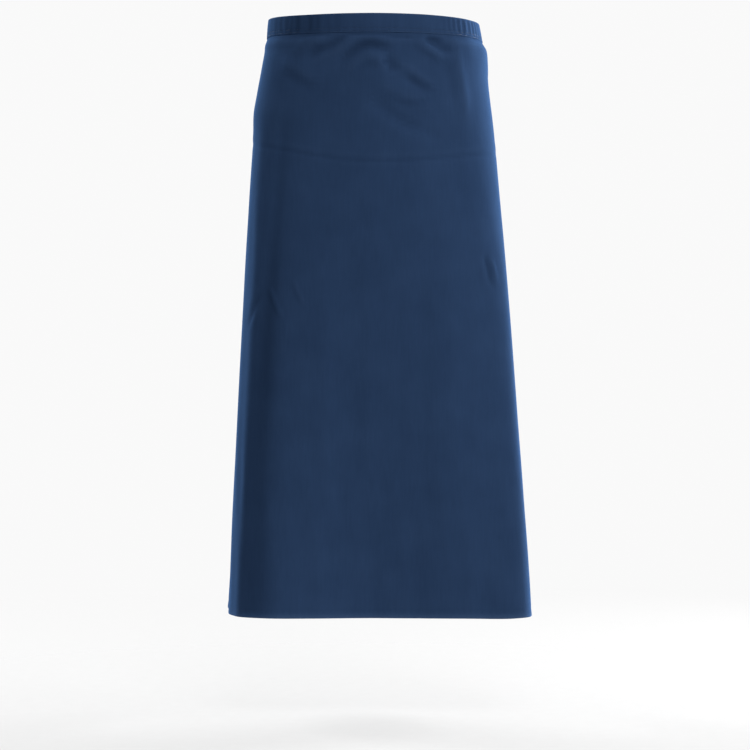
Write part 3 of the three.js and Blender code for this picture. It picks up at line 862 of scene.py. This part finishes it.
def band_wear_and_shade(s, v, lift):
    """Rubbing along the fold at the top and the turned lower edge, and painted shade over
    the buckles at the left of the front."""
    top = bell(v + BAND_HEIGHT, 1.6 * MM)
    low = 0.5 * bell(v, 1.0 * MM)
    # painted shade over the buckles at the left of the band
    shade = 0.5 * bell(s + 0.17, 0.09) * (1 + 0.5 * np.sin(s * 230 + 2 * np.sin(s * 90)))
    return (np.clip(0.55 * top + low, 0, 1) - shade) * (lift > 0)


def make_band(drape):
    """The waistband: one strip folded over the panel's top edge."""
    outer, inner = band_faces()
    columns = np.linspace(-HALF, HALF, 460)
    count = len(outer) // 2

    def pucker(s, v):
        lift = band_pucker(s, v)
        lift[:, count:] *= -0.5
        return lift

    band = laid_strip("waistband_cloth", drape, columns, outer, inner, pucker, band_wear_and_shade)
    band.data.flip_normals()
    return finish_piece(band, TWILL, "waistband")


# ---- Stitching ----

def make_band_stitches(drape):
    """Two rows along the band's lower edge."""
    lift = BAND_FACE - 0.2 * MM
    for name, v in zip(("lower", "upper"), STITCH_ROWS):
        row = (-HALF + 2 * MM, v), (HALF - 2 * MM, v)
        piece = stitch_row(f"band_stitches_{name}", drape, *row, lift)
        finish_piece(piece, STITCHING, f"band_stitch_{name}")


def make_hem_stitches(drape):
    """One row round the bottom hem and the side hems."""
    row = (-SIDE_STITCH_S, HEM_STITCH_V), (SIDE_STITCH_S, HEM_STITCH_V)
    piece = stitch_row("hem_stitches", drape, *row, PLY / 2)
    pieces = [finish_piece(piece, STITCHING, "hem_stitch")]
    for side, sign in SIDES:
        row = (sign * SIDE_STITCH_S, 2 * MM), (sign * SIDE_STITCH_S, HEM_STITCH_V)
        piece = stitch_row(f"side_stitches_{side}", drape, *row, PLY / 2)
        pieces.append(finish_piece(piece, STITCHING, f"side_stitch_{side}"))
    return pieces


def zigzag(drape, start, end, width, turns, lift):
    """A bar of thread that crosses itself from side to side between two places on the cut."""
    start, end = np.array(start), np.array(end)
    along = unit(end - start)
    across = np.array([-along[1], along[0]]) * width / 2
    t = np.linspace(0, 1, turns + 1)[:, None]
    sway = np.where(np.arange(turns + 1) % 2 == 0, 1.0, -1.0)[:, None]
    corners = start + (end - start) * t + across * sway
    places, normals = drape.at(corners[:, 0], corners[:, 1], lift)
    return places[:-1], places[1:], normals[:-1]


def make_bartacks(drape):
    """Bars across the ties in the ends of the band, and at the hem's corners. Returns the
    ones at the corners, which move with the skirt."""
    centre_v = SEAM_Z - box_centre("tie_lead_left").z
    pieces = []
    for side, sign in SIDES:
        at = sign * (HALF - 9 * MM)
        bar = zigzag(drape, (at, centre_v - 8 * MM), (at, centre_v + 8 * MM), 2 * MM, 52, BAND_FACE)
        piece = threads_on(f"tie_bartack_threads_{side}", *bar)
        finish_piece(piece, STITCHING, f"tie_bartack_{side}")
        corner = [(sign * (HALF - inset), HEM_STITCH_V) for inset in (11 * MM, 1.5 * MM)]
        bar = zigzag(drape, *corner, 1.4 * MM, 30, PLY / 2)
        piece = threads_on(f"hem_bartack_threads_{side}", *bar)
        pieces.append(finish_piece(piece, STITCHING, f"hem_bartack_{side}"))
    return pieces


# ---- Ties ----

TIE_WIDTH = 0.020
TIE_THICK = 1.5 * MM
KNOT_LOW, KNOT_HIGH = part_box("bow_knot")
KNOT = box_centre("bow_knot")
SECTION = 14


def strap_section(width, thick, gather, pleats):
    """One cross-section of a folded and stitched strap, as (across, out) points. gather is 0
    where the strap lies flat and 1 where the knot pleats it."""
    u = np.cos(np.linspace(0, math.pi, SECTION))
    edge = np.sqrt(np.maximum(1 - u ** 6, 0))
    seam = 1 - 0.22 * np.exp(-((abs(u) - 0.80) / 0.07) ** 2)
    half = thick / 2 * (0.35 + 0.65 * edge) * seam
    wave = gather * pleats * np.cos(u * 7.0)
    x = u * width / 2
    front = np.stack([x, wave + half], axis=1)
    back = np.stack([x, wave - half], axis=1)[::-1]
    return np.concatenate([front, back])


def strap(name, route, across, widths, gathers, pleats=1.4 * MM):
    """A strap along a route. across gives the direction of its width at each point."""
    route, across = np.asarray(route, float), np.asarray(across, float)
    along = unit(np.gradient(route, axis=0))
    across = unit(across - along * (across * along).sum(axis=1, keepdims=True))
    out = np.cross(across, along)
    run = np.concatenate([[0], np.cumsum(np.linalg.norm(np.diff(route, axis=0), axis=1))])
    points, flat = [], []
    for i, place in enumerate(route):
        section = strap_section(widths[i], TIE_THICK, gathers[i], pleats)
        points.append(place + section[:, :1] * across[i] + section[:, 1:] * out[i])
        flat.append(np.insert(section, 1, run[i], axis=1))
    piece = new_piece(name, points, tube_faces(len(route), 2 * SECTION), flat)
    piece.data.flip_normals()
    return piece


def make_leads(drape):
    """Each lead comes out of its end of the band and gathers as it nears the knot."""
    for side, sign in SIDES:
        centre_v = SEAM_Z - box_centre(f"tie_lead_{side}").z
        inside, _ = drape.at(sign * (HALF - np.array([12, 8, 4, 0]) * MM), centre_v, 0.0)
        end = inside[-1]
        heading = unit(end - inside[-2])
        knot_side = np.array([sign * 0.004, KNOT_LOW.y + 0.003, KNOT.z])
        midway = end * 0.35 + knot_side * 0.65 + np.array([0, 0.0012, 0])
        outside = [end + heading * 0.008, midway, knot_side]
        route = curve_through(np.concatenate([inside, outside]), 0.0012)
        t = np.linspace(0, 1, len(route))
        gather = ease((t - 0.55) / 0.4)
        widths = TIE_WIDTH - 0.009 * gather
        across = np.tile([0, 0, 1.0], (len(route), 1))
        piece = strap(f"tie_lead_{side}_strap", route, across, widths, gather, 0.9 * MM)
        finish_piece(piece, TIE_TWILL, f"tie_lead_{side}")


# A loop of the bow seen from above, in millimetres: out from the knot, round and back.
LOOP_END = 95.5
LOOP = [(4, -1.2), (22, -3.6), (48, -6.6), (74, -6.8), (90, -4.2), (LOOP_END, 0.0),
        (91, 4.6), (74, 7.2), (48, 6.4), (22, 3.4), (4, 1.2)]


def make_loops():
    """Two loops of the bow. Each leaves the knot, turns back at its end and droops."""
    droop = math.radians(24)
    for side, sign in SIDES:
        low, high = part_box(f"bow_loop_{side}")
        reach = (max(abs(low.x), abs(high.x)) - 0.006) / math.cos(droop)
        plan = curve_through([(x / LOOP_END * reach, y * MM) for x, y in LOOP], 0.0015)
        sag = 0.004 * (plan[:, 0] / reach) ** 2
        x = plan[:, 0] * math.cos(droop)
        z = KNOT.z - plan[:, 0] * math.sin(droop) - sag
        route = np.stack([sign * x, KNOT.y + plan[:, 1], z], axis=1)
        t = np.linspace(0, 1, len(route))
        gather = 1 - ease(np.minimum(t, 1 - t) / 0.22)
        widths = TIE_WIDTH - 0.008 * gather + 0.0006 * np.sin(t * 9)
        tilt = 0.10 * np.sin(t * math.pi * 2)
        across = np.stack([sign * np.sin(droop) + 0 * t, tilt, np.cos(droop) + 0 * t], axis=1)
        piece = strap(f"bow_loop_{side}_strap", route, across, widths, gather)
        if sign < 0:
            piece.data.flip_normals()
        finish_piece(piece, TIE_TWILL, f"bow_loop_{side}")


def tail_route(side, sign):
    """The tail leaves the knot's underside, swings out to its own place and hangs."""
    low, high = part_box(f"tie_tail_{side}")
    centre = (low + high) / 2
    drop = np.linspace(0, 1, 9)
    z = high.z + (low.z - high.z) * drop
    x = centre.x + 1.2 * MM * np.sin(drop * 8 + sign)
    y = centre.y + 1.6 * MM * np.sin(drop * 11 + 0.5 * sign)
    hanging = np.stack([x, y, z], axis=1)
    hanging[0, 2] -= 0.012
    start = [[sign * 0.005, KNOT.y, KNOT_LOW.z + 0.006], [sign * 0.009, KNOT.y + 0.001, high.z]]
    return np.concatenate([start, hanging])


def make_tails():
    """Two hanging tails, each bending where it leaves the knot."""
    for side, sign in SIDES:
        route = curve_through(tail_route(side, sign), 0.004)
        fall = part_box(f"tie_tail_{side}")[1].z - route[:, 2]
        gather = 1 - ease(fall / 0.055)
        widths = TIE_WIDTH - 0.009 * gather
        turn = 0.10 * np.sin(fall * 9 + sign)
        across = np.stack([np.cos(turn), np.sin(turn), 0 * turn], axis=1)
        piece = strap(f"tie_tail_{side}_strap", route, across, widths, gather, 1.1 * MM)
        finish_piece(piece, TIE_TWILL, f"tie_tail_{side}", body=None)
        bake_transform(piece)
        make_end_stitches(side, route)


END_STITCHES = 5


def make_end_stitches(side, route):
    """The stitches across the turned end of one tail."""
    z = box_centre(f"tie_end_stitch_{side}").z
    order = np.argsort(route[:, 2])
    x = np.interp(z, route[order, 2], route[order, 0])
    y = np.interp(z, route[order, 2], route[order, 1])
    width = TIE_WIDTH - 3 * MM
    pitch = width / END_STITCHES
    begin = x - width / 2 + pitch * np.arange(END_STITCHES)
    starts = np.stack([begin, 0 * begin + y + TIE_THICK / 2 - 0.1 * MM, 0 * begin + z], axis=1)
    ends = starts + np.array([pitch * 0.8, 0, 0])
    normals = np.tile([0, 1.0, 0], (END_STITCHES, 1))
    piece = threads_on(f"tie_end_threads_{side}", starts, ends, normals)
    finish_piece(piece, STITCHING, f"tie_end_stitch_{side}", f"tail_{side}")


SQUARENESS = 3.2


def make_knot():
    """The knot: a pleated strap wrapped round the bundle of ties."""
    half = (KNOT_HIGH - KNOT_LOW) / 2
    turns, around = 40, 56
    angle = np.linspace(0, 2 * math.pi, around, endpoint=False)
    u, a = np.meshgrid(np.linspace(-1, 1, turns), angle, indexing="ij")
    barrel = 1 - 0.30 * abs(u) ** 3.2
    lump = 1 + 0.05 * np.sin(3 * a + 1.1) * (1 - u * u) + 0.04 * np.sin(2 * a - 2 * u)
    pleat = 1 + 0.040 * np.sin(u * 12.5 + 1.3 * np.sin(a + 0.7)) * (1 - u ** 4)
    size = barrel * lump * pleat
    square = (abs(np.cos(a)) ** SQUARENESS + abs(np.sin(a)) ** SQUARENESS) ** (-1 / SQUARENESS)
    x = KNOT.x + u * half.x * 0.86 + 0.0012 * np.sin(a)
    y = KNOT.y + np.cos(a) * square * size * half.y * 0.92
    z = KNOT.z + np.sin(a) * square * size * half.z * 0.90
    points = np.stack([x, y, z], axis=-1)
    flat = np.stack([u * half.x, a * half.z, 0 * a], axis=-1)
    piece = new_piece("bow_knot_wrap", points, tube_faces(turns, around), flat)
    finish_piece(piece, TIE_TWILL, "bow_knot")


# ---- Care label and stiffener ----

def make_label(drape):
    """A blank satin label, folded double and sewn into the seam inside the band."""
    at, width, length = -0.330, 0.030, 0.045
    columns = np.linspace(at - width / 2, at + width / 2, 13)
    rows = np.linspace(0.002, length, 22)
    curl = 2.2 * MM * ease((rows - 0.012) / length) ** 2
    outer = [(-1.10 * MM - c, v) for c, v in zip(curl, rows)]
    inner = [(-1.45 * MM - c, v) for c, v in zip(curl, rows)]
    label = laid_strip("care_label_ribbon", drape, columns, outer, inner)
    finish_piece(label, (label_material(), "label"), "care_label")


STIFFENER = 0.40 * MM


def make_interlining(drape):
    """The stiffener that fills the folded band."""
    columns = np.linspace(-HALF + 3 * MM, HALF - 3 * MM, 300)
    rows = np.linspace(-7.5 * MM, -BAND_HEIGHT + 4 * MM, 12)
    sheet = laid_strip("band_stiffener", drape, columns, *plain_faces(STIFFENER, rows))
    sheet.data.flip_normals()
    finish_piece(sheet, (interlining_material(), "interlining"), "waistband_interlining")


# ---- Floor, light and camera ----

FLOOR_GAP = 0.172
FLOOR_RADIUS = 12
FADE_FROM, FADE_TO = 0.5, 2.4
EYE = (0.0038, -4.345, -0.5833)
SENSOR = 36.0
LENS = 121.6


def make_floor():
    """A large disc that fades into the background, so that no horizon shows. It glows, so
    that it stays pale and even beside the strong lamps."""
    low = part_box("skirt_panel")[0].z
    bpy.ops.mesh.primitive_circle_add(vertices=96, radius=FLOOR_RADIUS, fill_type="NGON",
                                      location=(0, 0, low - FLOOR_GAP))
    floor = bpy.context.object
    floor.name = "floor"
    n = Nodes(bpy.data.materials.new("floor"))
    place = n.add("TexCoord").outputs["Object"]
    far = n.add("VectorMath", {0: place}, operation="LENGTH").outputs["Value"]
    grain = n.noise(place, 40.0, 4.0)
    n.link("Base Color", n.mixed(grain, (0.10, 0.10, 0.10, 1), (0.13, 0.13, 0.13, 1)))
    n.link("Alpha", n.ranged(far, FADE_FROM, FADE_TO, 1.0, 0.0))
    n.set(Roughness=0.9, Specular_IOR_Level=0.1,
          Emission_Color=(1, 1, 1, 1), Emission_Strength=0.66)
    floor.data.materials.append(n.owner)


def area_light(name, place, target, size, power):
    """A soft lamp that the camera itself doesn't see."""
    data = bpy.data.lights.new(name, "AREA")
    data.shape = "RECTANGLE"
    data.size, data.size_y = size
    data.energy = power
    lamp = in_scene(name, data)
    lamp.location = place
    lamp.rotation_euler = (Vector(target) - Vector(place)).to_track_quat("-Z", "Y").to_euler()
    lamp.visible_camera = False


def make_world():
    """A pale studio: the lamps light the cloth, and the walls fill in evenly."""
    n = Nodes(bpy.data.worlds.new("studio"), "Background")
    n.set(Color=(0.94, 0.95, 0.96, 1), Strength=0.22)
    seen = n.add("Background", {"Color": (0.95, 0.95, 0.95, 1)}).outputs[0]
    ray = n.add("LightPath").outputs["Is Camera Ray"]
    mix = n.add("MixShader", {0: ray, 1: n.shader.outputs[0], 2: seen}).outputs[0]
    n.tree.links.new(mix, n.tree.nodes["World Output"].inputs["Surface"])
    bpy.context.scene.world = n.owner


def make_lights():
    """A key in front, and lamps at the sides and behind that light the apron's edges."""
    middle = (0, 0, -0.5)
    area_light("key", (0.6, -3.9, 2.5), middle, (2.2, 1.5), 158)
    area_light("side_right", (3.1, -0.6, 0.0), middle, (1.0, 2.4), 50)
    area_light("rim_right", (2.5, 1.9, 0.4), middle, (1.2, 2.2), 290)
    area_light("rim_left", (-2.3, 2.0, 1.0), (0, 0, -0.2), (1.0, 1.6), 150)


def make_camera():
    """The photo's view: level, from the front, with a long lens."""
    data = bpy.data.cameras.new("camera")
    data.sensor_width = SENSOR
    data.lens = LENS
    data.clip_start, data.clip_end = 0.05, 60
    camera = in_scene("camera", data)
    camera.location = EYE
    camera.rotation_euler = (math.pi / 2, 0, 0)
    bpy.context.scene.camera = camera
    bpy.context.scene.view_settings.view_transform = "Standard"


# ---- Assembly ----

make_camera()
make_world()
make_lights()
make_floor()

drape = make_drape()
skirt = make_skirt(drape)
hems = make_hems(drape)
make_band(drape)
make_band_stitches(drape)
hem_threads = make_hem_stitches(drape)
hem_bars = make_bartacks(drape)
make_leads(drape)
make_loops()
make_tails()
make_knot()
make_label(drape)
make_interlining(drape)
